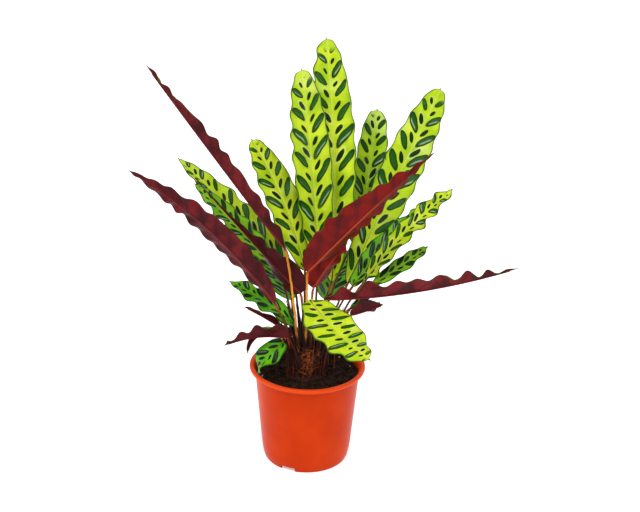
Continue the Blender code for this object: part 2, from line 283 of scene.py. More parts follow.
leaves = {
    "tall_back": leaf((0, 1), (110, 31, 8, 23), (290, 74, 144, 12, 8), 52, (0, -20), (24, 8), 0.4,
                      ripple=1.8, shade=0.1),
    "tall_front": leaf((1, 0), (125, 60, 2, 7), (240, 106, 147, 10, 10), 50, (0, -20), (24, 8), 0.4,
                       ripple=1.6, shade=0.1),
    "upright_left": leaf((-1, 1), (128, 288, 1, 2), (168, 137, 150, 19, 40), 42, (-30, -30), (20, 10), 0.5,
                         ripple=2.2, shade=0.05),
    "far_mid": leaf((1, 2), (157, 44, 12, 36), (165, 50, 71, 24, 10), 38, (20, 10), (20, 8), 0.4,
                    ripple=1.6, shade=0.4, stout=1.35),
    "big_right": leaf((2, 2), (109, 23, 10, 29), (258, 45, 23, 33, 26), 50, (35, 55), (20, 10), 0.45,
                      ripple=2.2, shade=0.15, stout=1.2),
    "long_left": leaf((-1, -2), (170, 222, 4, 12), (270, 203, 193, 35, 34), 30, (15, 25), (50, 50), 0.9,
                      ripple=2.2, shade=0.5, orange=1.0, crumple=1.8),
    "low_left": leaf((-2, -1), (111, 229, 10, 31), (249, 206, 204, 32, 53), 36, (50, 60), (36, 24), 0.9,
                     ripple=2.6, shade=0.5, orange=0.15, crumple=2.2),
    "mid_left": leaf((-1, 3), (114, 127, 6, 19), (193, 160, 170, 49, 48), 42, (-25, -25), (24, 24), 0.7,
                     ripple=3.2, shade=0.2),
    "under_left": leaf((-1, 2), (121, 159, 7, 20), (146, 172, 175, 43, 45), 36, (-25, -25), (20, 20), 0.7,
                       ripple=3.0, shade=0.75),
    "twist_left": leaf((0, 0), (108, 245, 4, 13), (188, 186, 185, 40, 40), 46, (60, 20), (20, 60), 3.0,
                       ripple=2.2, shade=1.0, crumple=4),
    "short_left": leaf((-1, 0), (57, 145, 3, 8), (97, 173, 169, 49, 68), 31, (-15, -30), (16, 16), 0.75,
                       ripple=3.0, shade=1.0, spacing=23, crumple=2.2),
    "thin_left": leaf((-1, -1), (55, 205, 7, 22), (69, 191, 191, 51, 60), 12, (30, 30), (60, 60), 0.9,
                      ripple=1.6, shade=0.8, orange=0.3, crumple=1.6),
    "drop_left": leaf((-1, -3), (58, 199, 9, 28), (81, 209, 196, 66, 110), 34, (40, 40), (40, 40), 0.9,
                      ripple=3.2, shade=0.8, orange=0.3, crumple=3.5),
    "curl_left": leaf((-3, -1), (45, 188, 5, 14), (63, 195, 203, 34, 181), 24, (30, 30), (40, 40), 0.9,
                      ripple=1.6, shade=0.8, orange=0.3, crumple=2),
    "soil_left": leaf((-2, -2), (50, 223, 9, 26), (53, 225, 167, 105, 169), 28, (-50, -10), (22, 14), 0.7,
                      ripple=4.2, shade=1.0, orange=0.3, spacing=19, crumple=5),
    "big_front": leaf((0, -2), (141, 269, 3, 9), (214, 342, 343, 39, 43), 56, (-42, -56), (34, 30), 1.4,
                      ripple=3.0, shade=0.15, orange=1.0, gold=1.0, crumple=2.0),
    "red_behind": leaf((0, -1), (111, 340, 1, 2), (69, 8, 9, 28, 42), 42, (-60, -60), (30, 20), 0.8,
                       ripple=2.0, shade=0.0, gold=1.0, crumple=2),
    "pale_right": leaf((2, 1), (122, 354, 11, 33), (159, 1, -3, 31, 47), 30, (25, 40), (20, 12), 0.6,
                       ripple=4.2, shade=0.0, crumple=2.4),
    "dark_right": leaf((1, 1), (113, 12, 11, 34), (130, 19, 1, 36, 43), 34, (25, 30), (20, 12), 0.8,
                       ripple=2.8, shade=0.9, crumple=1.6, stout=1.5, spacing=21),
    "behind_right": leaf((2, 0), (131, 357, 14, 42), (80, 5, 13, 54, 54), 22, (25, 30), (16, 16), 0.6,
                         ripple=1.6, shade=0.75, spacing=22, stout=1.2),
    "long_right": leaf((2, -2), (104, 300, 2, 8), (232, 344, 346, 80, 65), 42, (-22, -22), (50, 50), 1.05,
                       ripple=4.4, shade=0.3, orange=0.5, halves=(1, 0.7), crumple=1.6),
    "shade_right": leaf((1, -1), (99, 348, 12, 36), (44, -2, 18, 51, 76), 16, (0, 0), (30, 30), 0.9,
                        ripple=1.0, shade=0.9),
    "small_right": leaf((2, -1), (89, 345, 11, 34), (42, -18, 2, 66, 68), 33, (-45, -45), (30, 30), 0.6,
                        ripple=3.6, shade=0.7, crumple=3),
    "front_right": leaf((1, -2), (115, 261, 7, 20), (105, 300, 340, 109, 123), 57, (0, 20), (10, 6), 0.6,
                        ripple=3.0, shade=0.0, slope=(-0.36, 0.32), spacing=15.5, stout=0.56, lobes=1.45,
                        scallop=(0.085, 0.02)),
    "rear_left": leaf((-2, 2), (80, 95, 17, 51), (102, 115, 147, 73, 45), 40, (0, 0), (16, 16), 0.6,
                      ripple=2.2, shade=1.0),
    "rear_right": leaf((0, 3), (81, 68, 18, 54), (94, 77, 57, 83, 54), 40, (0, 0), (16, 16), 0.6,
                       ripple=2.2, shade=1.0),
}

blade = {
    "basePower": 0.55,           # how fast a blade widens from its base
    "crossArch": 0.15,           # how much each half curves down towards its margin
    "thickness": 0.00055,
    "columns": 24,
    "stepLength": 0.0021,
    "ripplePeriod": 0.028,
    "calm": 0.12,                # where a half is narrower than this share, its ripple fades
    "crumpleScale": 42,
    "ribGroove": 0.00045,
    "pleat": 0.0003,
    "closer": 0.18,              # how much closer the ovals stand towards the tip
    "point": 0.003,              # the drip tip beyond the blunt end
    "pointWidth": 0.0064,
    "pointReach": 0.012,
    "endCrowding": 0.35,         # how much closer the steps stand at both ends
    "ribCrowding": 1.25,         # over 1, the columns stand closer to the midrib
    "grooveWidth": 0.0009,
}

crown = {
    "centre": (-0.002, -0.007),
    "cellSize": 0.0074,
    "top": 0.118,
    "gap": 0.0003,
}


def footPlace(cell):
    column, row = cell
    return Vector((crown["centre"][0] + crown["cellSize"] * (column + 0.5 * (row % 2)),
                   crown["centre"][1] + crown["cellSize"] * 0.866 * row, crown["top"] + crown["gap"]))


def stalkPath(plan, steps=7):
    length, azimuth, footLean, neckLean = plan["stalk"]
    return grownPath(footPlace(plan["cell"]), length * mm, (azimuth, azimuth), (footLean, neckLean), steps)


def bladeShape(plan, share):                 # the ways to a blade's side and out of its green face
    azimuth = mixed(plan["blade"][1:3], share)
    way = direction(mixed(plan["blade"][3:], share), azimuth)
    level = Vector((-sin(radians(azimuth)), cos(radians(azimuth)), 0))
    roll = Matrix.Rotation(radians(mixed(plan["roll"], share)), 3, way)
    return roll @ level, roll @ way.cross(level)


def midribPath(plan, steps=14):
    length, azimuth0, azimuth1, lean0, lean1 = plan["blade"]
    start = stalkPath(plan)[-1] + direction(lean0, azimuth0) * crown["gap"]
    return grownPath(start, length * mm, (azimuth0, azimuth1), (lean0, lean1), steps)


def halfWidth(plan, share):
    power = blade["basePower"]
    widest = power / (power + plan["taper"])
    share = min(max(share, 0), 1)
    widening = (share / widest) ** power
    narrowing = ((1 - share) / (1 - widest)) ** plan["taper"]
    return plan["width"] * mm / 2 * widening * narrowing


def tippedWidth(plan, share):                # the same outline, with a small drip tip at its end
    length = plan["blade"][0] * mm
    blunt = halfWidth(plan, share * length / (length - blade["point"]))
    toTip = (1 - share) * length
    return blunt + blade["pointWidth"] * sqrt(max(0, 1 - share)) * exp(-(toTip / blade["pointReach"]) ** 2)


leafTones = {
    "lime": (paint(150, 178, 8), paint(194, 208, 34)),
    "limeByRib": paint(214, 226, 104),
    "limeByMargin": paint(124, 166, 8),
    "green": (paint(48, 128, 8), paint(96, 170, 16)),
    # painted sheen: pale patches that stand for reflections on the blade
    "paintedSheen": paint(222, 232, 130),
    # painted highlight: a pale ring round some small ovals
    "paintedHalo": paint(228, 236, 186),
    "vein": paint(96, 150, 18),
    "oval": (paint(30, 84, 8), paint(8, 36, 2)),
    "ovalInShade": paint(12, 34, 16),
    "ovalVein": paint(8, 34, 4),
    # painted highlight: a pale streak along some long ovals
    "ovalPaintedHighlight": paint(176, 192, 168),
    # painted shade beside the midrib groove
    "groove": paint(74, 116, 10),
    "rib": (paint(196, 214, 74), paint(112, 166, 46)),
    "margin": paint(32, 74, 5),
    "under": (paint(62, 9, 13), paint(116, 26, 30)),
    "underGold": paint(116, 15, 8),
    "underSunlit": paint(152, 26, 18),
    "underInShade": paint(52, 7, 13),
    "underBlotch": paint(66, 4, 8),
    "underBand": paint(48, 8, 18),
    "underVein": paint(48, 8, 16),
    "underRib": (paint(92, 20, 24), paint(140, 46, 22)),
    "underMargin": paint(50, 20, 16),
}


def rowLuck(made, number, farSide, lot):     # one random value for each vein of each half
    return made.luck(number * 3.7 + farSide * 51.3 + lot)


def hairVeins(row, fine):                    # the hair-fine veins between the side veins
    return (row * 138 + 2.2 * fine).sine() * 0.5 + 0.5


def leafTopMaterial():
    made = Finish("leaf_top", IOR=1.45, Specular_IOR_Level=0.13)
    tones = leafTones
    reach = made.grown("reach")              # 0 on the midrib, 1 on the margin
    across = made.grown("across")            # mm, to one side or the other
    edge = made.grown("edge")                # mm in from the margin
    veinRow = made.grown("veinRow")
    breadth = made.grown("breadth")
    shade = made.grown("shade")
    lot = made.grown("lot")
    share = made.grown("share")
    place = made.place()
    farSide = across > 0
    row = veinRow + 0.42 * farSide           # the two halves take turns
    wander = made.cloud(place, 55, detail=1) - 0.5
    row = row + 0.24 * wander

    number = (row + 0.5).floor()             # a long oval on each side vein
    luck = rowLuck(made, number, farSide, lot)
    out = abs((reach - 0.57 + 0.04 * luck) / (0.34 + 0.11 * luck))
    stout = 0.5 + 0.5 * breadth
    thick = (0.19 + 0.07 * luck) * stout
    depth = ((row - number) / thick) ** 2 + out ** 2.6
    longOval = 1 - depth.ease(0.86, 1.12)

    between = (row + 1.0).floor()            # and a small one between, nearer the midrib
    smallLuck = made.luck(between * 5.1 + farSide * 23.9 + lot + 9)
    smallOut = abs((reach - 0.27) / (0.13 + 0.09 * smallLuck))
    smallThick = (0.115 + 0.06 * smallLuck) * stout
    smallDepth = ((row + 0.5 - between) / smallThick) ** 2 + smallOut ** 2
    smallOval = 1 - smallDepth.ease(0.8, 1.2)

    oval = longOval.most(smallOval) * share.ease(0.015, 0.05) * (1 - share.ease(0.93, 0.965))
    rib = 1 - abs(across).ease(0.2, 0.5)
    # painted shade: a darker line on one side of the midrib groove
    groove = farSide * abs(across).ease(0.3, 0.5) * (1 - abs(across).ease(0.7, 1.1))
    # painted highlight: a pale streak along some long ovals
    paintedGlossStreak = 1 - abs((row - number) / thick + 0.3).ease(0.08, 0.26)
    paintedGlossStreak = paintedGlossStreak * (1 - out.ease(0.35, 0.75)) * luck.ease(0.45, 0.7)
    # painted highlight: a pale ring round some small ovals
    paintedHalo = smallDepth.ease(1.0, 1.3) * (1 - smallDepth.ease(1.4, 2.2)) * smallLuck.ease(0.55, 0.8)
    margin = 1 - edge.ease(0.6, 2.0)

    mottle = made.cloud(place, 38, detail=4)
    fine = made.cloud(place, 240, detail=2)
    # painted sheen: where pale patches stand for reflections on the blade
    sheenPatches = made.cloud(place, 17, detail=2)
    veins = hairVeins(row, fine)
    lime = made.coated(
        made.blend(mottle.ease(0.3, 0.7), *tones["lime"]),
        (0.2 * (1 - abs(across).ease(0.5, 2.6)), tones["limeByRib"]),
        (0.3 * paintedHalo, tones["paintedHalo"]),
        (0.5 * reach.ease(0.75, 1.0), tones["limeByMargin"]),
        (0.55 * sheenPatches.ease(0.56, 0.72), tones["paintedSheen"]))
    green = made.blend(mottle.ease(0.3, 0.7), *tones["green"])
    ovalColour = made.coated(
        made.blend(depth.ease(0.2, 0.9), *tones["oval"]),
        (shade, tones["ovalInShade"]), (0.25 * veins, tones["ovalVein"]))
    colour = made.coated(
        lime, (shade, green), (0.16 * veins, tones["vein"]), (oval, ovalColour),
        (0.5 * paintedGlossStreak * oval, tones["ovalPaintedHighlight"]), (0.4 * groove, tones["groove"]),
        (0.75 * rib, made.blend(shade, *tones["rib"])), (0.9 * margin, tones["margin"]))

    ridge = (1 - 2 * abs(row - number)) * 0.35
    height = veins * 0.35 + ridge + fine * 0.5 + oval * 0.4
    rough = 0.34 + 0.14 * mottle - 0.14 * oval
    return made.show(Base_Color=colour, Roughness=rough, Normal=made.relief(height, 0.00035, 0.6))


def leafUnderMaterial():
    made = Finish("leaf_underside", IOR=1.45, Specular_IOR_Level=0.11)
    tones = leafTones
    reach = made.grown("reach")
    across = made.grown("across")
    veinRow = made.grown("veinRow")
    edge = made.grown("edge")
    share = made.grown("share")
    gold = made.grown("gold")
    shade = made.grown("shade")
    lot = made.grown("lot")
    place = made.place()
    farSide = across > 0
    fine = made.cloud(place, 240, detail=2)
    mottle = made.cloud(place, 42, detail=4)
    row = veinRow + 0.42 * farSide + 0.12 * (mottle - 0.5)
    number = (row + 0.5).floor()
    luck = rowLuck(made, number, farSide, lot)
    band = 1 - abs(row - number).ease(0.06, 0.16 + 0.12 * luck)
    band = band * reach.ease(0.05, 0.2) * (1 - reach.ease(0.8, 0.98))
    veins = hairVeins(row, fine)
    ribColour = made.blend(gold * (1 - share.ease(0.45, 0.9)), *tones["underRib"])
    colour = made.coated(
        made.blend(mottle.ease(0.36, 0.64), *tones["under"]),
        (gold.ease(0.2, 1.0), tones["underGold"]),
        (gold * (1 - shade.ease(0.0, 0.12)), tones["underSunlit"]),
        (0.75 * shade.ease(0.2, 1.0), tones["underInShade"]),
        (0.6 * gold * (1 - mottle.ease(0.4, 0.56)), tones["underBlotch"]),
        (0.42 * band, tones["underBand"]), (0.25 * veins, tones["underVein"]),
        (0.55 * (1 - abs(across).ease(0.25, 0.8)), ribColour),
        (0.5 * (1 - edge.ease(0.2, 0.9)), tones["underMargin"]))
    height = veins * 0.45 + fine * 0.4 + abs(row - number) * 0.8
    rough = 0.32 + 0.2 * mottle
    return made.show(Base_Color=colour, Roughness=rough, Normal=made.relief(height, 0.0004, 0.6))


def growBlade(name, plan, materials):
    luck = random.Random("blade " + name)
    length = plan["blade"][0] * mm
    midrib = midribPath(plan)
    phases = [[luck.uniform(0, 2 * pi) for phase in range(3)] for half in range(2)]
    beats = [luck.uniform(0.92, 1.08) for half in range(2)]
    lot = float(luck.randrange(100, 900))
    rows = length / (plan["spacing"] * mm)
    start = luck.random()
    steps = round(length / blade["stepLength"])
    bm = bmesh.new()
    layers = keep(bm, "reach", "across", "edge", "veinRow", "breadth", "share", "shade", "lot", "gold")
    bmesh.ops.create_grid(bm, x_segments=steps, y_segments=blade["columns"], size=1)
    for vert in bm.verts:
        even = (vert.co.x + 1) / 2
        share = mixed((even, 0.5 - 0.5 * cos(pi * even)), blade["endCrowding"])
        reach = abs(vert.co.y) ** blade["ribCrowding"]
        sign = 1 if vert.co.y > 0 else -1
        side, upper = bladeShape(plan, share)
        fold = radians(mixed(plan["fold"], share))
        one = 0 if sign < 0 else 1
        half = tippedWidth(plan, share) * plan["halves"][one]
        slope = plan["slope"][one]
        first, second, third = phases[one]
        forward = share * length - 0.7 * abs(slope) * reach * half
        beat = 2 * pi * forward / blade["ripplePeriod"] * beats[one]       # its pace and size drift
        swing = sin(beat + first + 0.7 * sin(beat * 0.31 + second))
        swing *= 0.8 + 0.4 * sin(beat * 0.23 + third)
        ease = min(1, half / (plan["width"] * mm * blade["calm"]))
        wave = plan["ripple"] * mm * swing * reach ** 1.7 * ease
        half *= 1 + plan["scallop"][one] * reach ** 3 * cos(beat * plan["lobes"] + first + 0.9)
        spread = share * (1 - blade["closer"] + blade["closer"] * share)
        veinRow = rows * spread - slope * reach * half * rows / length + start
        pleat = blade["pleat"] * cos(4 * pi * veinRow) * sin(pi * min(1, reach * 1.1)) * ease
        groove = blade["ribGroove"] * exp(-(reach * half / blade["grooveWidth"]) ** 2) * ease
        rise = half * reach * (sin(fold) - blade["crossArch"] * reach)
        spot = Vector((share * length, sign * reach * half, lot)) * blade["crumpleScale"]
        wave += plan["crumple"] * mm * noise.noise(spot) * ease * min(1, share * 8) * min(1, reach * 3)
        vert.co = (along(midrib, share) + side * half * reach * sign * cos(fold)
                   + upper * (rise + wave + pleat - groove))
        values = (reach, sign * reach * half / mm, (1 - reach) * half / mm, veinRow,
                  half / (plan["width"] * mm / 2) * plan["stout"], share, plan["shade"], lot, plan["gold"])
        for layer, value in zip(layers, values):
            vert[layer] = value
    bmesh.ops.remove_doubles(bm, verts=bm.verts, dist=2e-6)
    piece = addPiece("leaf_" + name, bm, materials, ["blade_" + name], closed=False)
    skin = thicken(piece, blade["thickness"], -1)
    skin.material_offset = 1
    skin.material_offset_rim = 0


# A stalk runs on under its blade as the midrib.
stalk = {
    "footRadius": 0.0027,
    "middleRadius": 0.0015,
    "neckRadius": 0.0012,
    "jointRadius": 0.0016,       # the thicker joint just under the blade
    "jointLength": 0.013,
    "ribRadius": 0.00105,
    "ribTipRadius": 0.00018,
    "ribEnd": 0.97,              # where the midrib ends, as a share of the blade
    "footFade": 0.026,           # how fast the foot's thickness fades upwards
    "wobble": 0.0009,
    "unevenness": 0.06,
    "step": 0.0045,
    "ribStep": 0.005,
    "sides": 12,
    "sunk": 0.008,               # how far it goes down into the crown
}


def stalkMaterial():
    made = Finish("stalk_skin", IOR=1.45, Specular_IOR_Level=0.15)
    height = made.grown("height")            # mm above the soil
    rib = made.grown("rib")                  # 0 on the stalk, then 0-1 along the blade
    orange = made.grown("orange")
    joint = made.grown("joint")
    grain = made.grown("grain", give="Vector")
    strands = made.cloud(grain, 2.6, detail=4, roughness=0.6)
    blotch = made.cloud(made.place(), 90, detail=3)
    gold = made.grown("gold")
    # the low part of each stalk: partly its own dark foot, partly painted shade in the clump
    darkFootAndShade = made.blend(strands.ease(0.35, 0.65), paint(20, 10, 7), paint(56, 24, 15))
    golden = made.blend(strands.ease(0.35, 0.65), paint(176, 106, 22), paint(214, 146, 44))
    # olive: the dull stalk tone, kept dark partly as painted shade for the stalks in the clump
    olive = made.blend(strands.ease(0.35, 0.65), paint(34, 20, 10), paint(74, 44, 18))
    fresh = made.blend(orange, olive, golden)
    fresh = made.blend(0.6 * joint, fresh, paint(168, 74, 24))
    # where the dark foot and its painted shade give way, higher up the stalk
    clearOfFootAndShade = (height + 40 * blotch).ease(72, 104)
    colour = made.blend(clearOfFootAndShade, darkFootAndShade, fresh)
    warmth = (0.15 + 0.85 * gold) * (1 - (rib + 0.2 * blotch).ease(0.1 + 0.5 * gold, 0.3 + 0.6 * gold))
    ribColour = made.blend(warmth, paint(84, 16, 22), paint(150, 56, 24))
    colour = made.blend(rib.ease(0.0, 0.02), colour, ribColour)
    rough = 0.42 + 0.25 * blotch
    return made.show(Base_Color=colour, Roughness=rough, Normal=made.relief(strands, 0.0003, 0.7))


def growStalk(name, plan, material):
    luck = random.Random("stalk " + name)
    path = stalkPath(plan)
    midrib = midribPath(plan)
    stalkLength = plan["stalk"][0] * mm
    bladeLength = plan["blade"][0] * mm
    stalkSteps = max(14, round(stalkLength / stalk["step"]))
    ribSteps = max(12, round(bladeLength / stalk["ribStep"]))
    foot = path[0] - up * stalk["sunk"]
    points, radii, marks = [foot], [stalk["footRadius"]], [(0, 0)]
    for i in range(stalkSteps):
        share = i / stalkSteps
        point = along(path, share)
        toNeck = (1 - share) * stalkLength
        base = exp(-share * stalkLength / stalk["footFade"])
        radius = mixed((stalk["middleRadius"], stalk["neckRadius"]), share)
        radius += (stalk["footRadius"] - stalk["middleRadius"]) * base
        joint = exp(-((toNeck - stalk["jointLength"] * 0.45) / (stalk["jointLength"] * 0.4)) ** 4)
        radius = mixed((radius, stalk["jointRadius"]), joint)
        wobble = Vector((noise.noise(point * 60 + Vector((luck.random(), 0, 0))),
                         noise.noise(point * 55 + Vector((9, 3, 1))), 0)) * stalk["wobble"]
        points.append(point + wobble * min(1, share * 6) * min(1, toNeck / 0.03))
        radii.append(radius * (1 + stalk["unevenness"] * luck.uniform(-1, 1)))
        marks.append((0, joint))
    for i in range(ribSteps):
        share = (i + 0.4) / ribSteps * stalk["ribEnd"]
        upper = bladeShape(plan, share)[1]
        radius = stalk["ribRadius"] * (1 - share) ** 0.7 + stalk["ribTipRadius"]
        sink = blade["ribGroove"] + blade["thickness"] + radius * 0.35
        points.append(along(midrib, share) - upper * sink * min(1, 0.25 + share * 12))
        radii.append(radius)
        marks.append((max(share, 0.021), 0))
    bm = bmesh.new()
    height, rib, orange, joint, gold = keep(bm, "height", "rib", "orange", "joint", "gold")
    grain = bm.verts.layers.float_vector.new("grain")
    spots = len(points) - 1

    def mark(vert, share, angle):
        i = round(share * spots)
        vert[height] = (points[i].z - soil["top"]) / mm
        vert[rib], vert[joint] = marks[i]
        vert[orange], vert[gold] = plan["orange"], plan["gold"]
        vert[grain] = (cos(angle), sin(angle), i * 0.06)

    sweepTube(bm, points, radii, stalk["sides"], mark)
    addPiece("stem_" + name, bm, [material], ["stalk_" + name])


# Dry sheaths wrap the foot of each stalk.
sheaths = {
    "height": (0.03, 0.066),
    "stand": 0.0011,             # how far a sheath stands off its stalk
    "sunk": 0.007,
    "footSpread": 150,           # degrees that it wraps to each side at its foot
    "topSpread": (50, 90),
    "tone": (0.0, 0.4),
    "thickness": 0.0004,
    "steps": 16,
    "columns": 12,
}


def sheathMaterial():
    made = Finish("sheath_fibre", IOR=1.4, Specular_IOR_Level=0.2)
    edge = made.grown("edge")                # 0 in the middle, 1 on the margin
    share = made.grown("share")
    tone = made.grown("tone")
    place = made.place()
    strands = made.cloud(made.stretched(place, 0.07), 900, detail=4, roughness=0.65)
    blotch = made.cloud(place, 120, detail=3)
    dark = made.blend(strands.ease(0.36, 0.64), paint(20, 11, 8), paint(58, 26, 16))
    warm = made.blend(strands.ease(0.36, 0.64), paint(56, 26, 14), paint(122, 62, 30))
    colour = made.blend((tone + 0.5 * (blotch - 0.5)).ease(0.3, 0.9), dark, warm)
    colour = made.blend(0.75 * edge.ease(0.72, 0.95), colour, paint(108, 46, 22))
    colour = made.blend(0.5 * share.ease(0.75, 1.0), colour, paint(92, 52, 28))
    rough = 0.6 + 0.3 * blotch
    return made.show(Base_Color=colour, Roughness=rough, Normal=made.relief(strands, 0.0005, 0.8))


def wrapSheath(bm, layers, path, radius, azimuth, topSpread, tone, luck):
    # A scale curled round a stalk: wide at its foot, and open down one side.
    edge, shareLayer, toneLayer = layers
    made = bmesh.ops.create_grid(bm, x_segments=sheaths["steps"], y_segments=sheaths["columns"], size=1)
    phase = luck.uniform(0, 6)
    for vert in made["verts"]:
        share = (vert.co.x + 1) / 2
        around = vert.co.y
        spread = radians(mixed((sheaths["footSpread"], topSpread), share)) * (1 - share ** 5) + 0.02
        angle = radians(azimuth) + around * spread
        flare = 1 + 0.5 * share ** 2 * abs(around)
        reach = radius * (1 - 0.25 * share) * flare * (1 + 0.08 * sin(9 * share + phase))
        spot = along(path, share)
        vert.co = spot + onRing(reach, angle)
        vert[edge] = abs(around)
        vert[shareLayer] = share
        vert[toneLayer] = tone


def growSheaths(material):
    bm = bmesh.new()
    layers = keep(bm, "edge", "share", "tone")
    for name, plan in leaves.items():
        luck = random.Random("sheath " + name)
        height = luck.uniform(*sheaths["height"]) * min(1, plan["stalk"][0] / 90)
        length = plan["stalk"][0] * mm
        path = stalkPath(plan)
        foot = path[0] - up * sheaths["sunk"]
        points = [foot] + [along(path, height / length * i / 8) for i in range(9)]
        azimuth = plan["stalk"][1] + luck.uniform(120, 240)
        wrapSheath(bm, layers, points, stalk["footRadius"] + sheaths["stand"], azimuth,
                   luck.uniform(*sheaths["topSpread"]), luck.uniform(*sheaths["tone"]), luck)
    replaced = ["dry_sheath_back", "dry_sheath_left", "dry_sheath_outer_left", "dry_sheath_front"]
    piece = addPiece("sheaths", bm, [material], replaced, closed=False)
    thicken(piece, sheaths["thickness"], 0)


fibres = {
    "count": 150,
    "spread": 0.024,             # how far from the middle the threads stand
    "length": (0.010, 0.034),
    "curl": 1.2,
    "radius": 0.00017,
    "steps": 7,
    "tangleCount": 90,
    "tangleFront": -0.031,
    "tangleHeight": (0.124, 0.158),
    "tangleLength": (0.006, 0.016),
    "tangleCurl": 4.5,
    "deadPerStalk": 3,
    "deadHeight": (0.035, 0.085),
    "deadAside": (0.002, 0.0042),
    "deadRadius": 0.0017,
    "stumps": (((0.032, 0.010, 0.112), 80), ((0.025, 0.016, 0.112), 100)),
    "stumpHeights": (-6, 0, 8, 16, 24, 30),
    "stumpRadii": (0.0013, 0.0012, 0.0011, 0.001, 0.001, 0.0009),
}


def fibreMaterial():
    made = Finish("crown_fibre", IOR=1.4, Specular_IOR_Level=0.2)
    tone = made.grown("tone")
    blotch = made.cloud(made.place(), 400, detail=2)
    colour = made.blend((tone + 0.4 * (blotch - 0.5)).ease(0.1, 0.9), paint(40, 20, 12), paint(176, 92, 44))
    rough = 0.6 + 0.3 * blotch
    return made.show(Base_Color=colour, Roughness=rough, Normal=made.relief(blotch, 0.0002, 0.6))


def growFibres(material):
    luck = random.Random("fibres")
    bm = bmesh.new()
    tone, = keep(bm, "tone")
    centre = Vector((*crown["centre"], crown["top"]))

    def tube(points, radii, sides, toneValue):
        def mark(vert, share, angle):
            vert[tone] = toneValue
        sweepTube(bm, points, radii, sides, mark)

    def strand(start, way, length, curl, radius, toneValue):
        points, steps = [start], fibres["steps"]
        bend = Vector((luck.uniform(-1, 1), luck.uniform(-1, 1), luck.uniform(-1, 1))) * curl
        for step in range(steps):
            way = (way + bend / steps).normalized()
            points.append(points[-1] + way * (length / steps))
        tube(points, [radius * (1 - 0.6 * i / steps) for i in range(steps + 1)], 4, toneValue)

    for each in range(fibres["count"]):      # upright threads
        angle = luck.uniform(0, 2 * pi)
        out = fibres["spread"] * sqrt(luck.uniform(0.1, 1))
        start = centre + onRing(out, angle, luck.uniform(-0.006, 0.006))
        way = Vector((cos(angle) * luck.uniform(-0.3, 0.5), sin(angle) * luck.uniform(-0.3, 0.5), 1))
        strand(start, way.normalized(), luck.uniform(*fibres["length"]), fibres["curl"],
               fibres["radius"] * luck.uniform(0.6, 1.4), luck.uniform(0, 0.7))
    for each in range(fibres["tangleCount"]):
        start = Vector((luck.gauss(0.001, 0.005), fibres["tangleFront"] + luck.gauss(0, 0.0018),
                        luck.uniform(*fibres["tangleHeight"])))
        way = Vector((luck.uniform(-1, 1), luck.uniform(-0.5, 0.2), luck.uniform(-0.2, 1)))
        strand(start, way.normalized(), luck.uniform(*fibres["tangleLength"]), fibres["tangleCurl"],
               fibres["radius"] * luck.uniform(0.7, 1.3), luck.uniform(0.4, 1))
    # dead stalks: dark strips that stand between the live ones, each along its neighbour
    for plan in leaves.values():
        path = stalkPath(plan)
        for each in range(fibres["deadPerStalk"]):
            height = luck.uniform(*fibres["deadHeight"]) * min(1, plan["stalk"][0] / 100)
            angle = luck.uniform(0, 2 * pi)
            aside = onRing(luck.uniform(*fibres["deadAside"]), angle)
            points = [path[0] + aside - up * stalk["sunk"]]
            for i in range(9):
                share = height / (plan["stalk"][0] * mm) * i / 8
                points.append(along(path, share) + aside * (1 + 0.2 * sin(i + angle)))
            radii = [fibres["deadRadius"] * (1 - 0.75 * (i / 9) ** 2) for i in range(10)]
            tube(points, radii, 6, luck.uniform(0, 0.18))
    for foot, azimuth in fibres["stumps"]:
        points = [Vector(foot) + direction(8, azimuth) * height * mm for height in fibres["stumpHeights"]]
        tube(points, list(fibres["stumpRadii"]), 8, 0.4)
    addPiece("crown_fibres", bm, [material], [])


crownKnob = {
    "middle": 0.1135,
    "radius": 0.0245,
    "height": 0.0095,
    "lump": 0.0022,
}


def growCrown(material):
    bm = bmesh.new()
    tone = keep(bm, "edge", "share", "tone")[2]
    centre = Vector((*crown["centre"], crownKnob["middle"]))
    bmesh.ops.create_icosphere(bm, subdivisions=5, radius=1)
    for vert in bm.verts:
        way = vert.co.copy()
        lump = crownKnob["lump"] * (noise.noise(way * 4.1) + 0.5 * noise.noise(way * 11 + up))
        wide = crownKnob["radius"] + lump
        vert.co = centre + Vector((way.x * wide, way.y * wide, way.z * crownKnob["height"] + lump * 0.8))
        vert[tone] = 0.15
    addPiece("crown_knob", bm, [material], ["crown"])


# Peat, with crumbs and a few white grains on it.
soil = {
    "top": 0.112,
    "relief": 0.0017,
    "heap": 0.003,               # how far it rises at the crown
    "heapSpread": 0.026,
    "gap": 0.0003,               # to the pot
    "rings": 34,
    "wallLevels": (0.106, 0.09, 0.06, 0.03, 0.017),
    "turnSteps": 120,
    "crumbs": 700,
    "crumbSize": (0.0007, 0.0023),
    "grains": 12,
    "grainRing": (0.028, 0.060),
    "grainSize": (0.0006, 0.0013),
}


def soilMaterial():
    made = Finish("peat", IOR=1.35, Specular_IOR_Level=0.15)
    place = made.place()
    lumps = made.cloud(place, 160, detail=5, roughness=0.65)
    specks = made.cloud(place, 620, detail=3, roughness=0.6)
    colour = made.blend(lumps.ease(0.35, 0.68), paint(20, 12, 8), paint(50, 32, 20))
    colour = made.blend(0.7 * specks.ease(0.62, 0.74), colour, paint(92, 58, 34))
    rough = 0.82 + 0.16 * specks
    bumps = lumps + 0.5 * specks
    return made.show(Base_Color=colour, Roughness=rough, Normal=made.relief(bumps, 0.0012, 0.9))


def grainMaterial():
    made = Finish("perlite", IOR=1.4)
    pores = made.cloud(made.place(), 900, detail=3)
    colour = made.blend(pores.ease(0.35, 0.7), paint(150, 132, 108), paint(226, 220, 206))
    rough = 0.75 + 0.2 * pores
    return made.show(Base_Color=colour, Roughness=rough, Normal=made.relief(pores, 0.0004, 0.7))


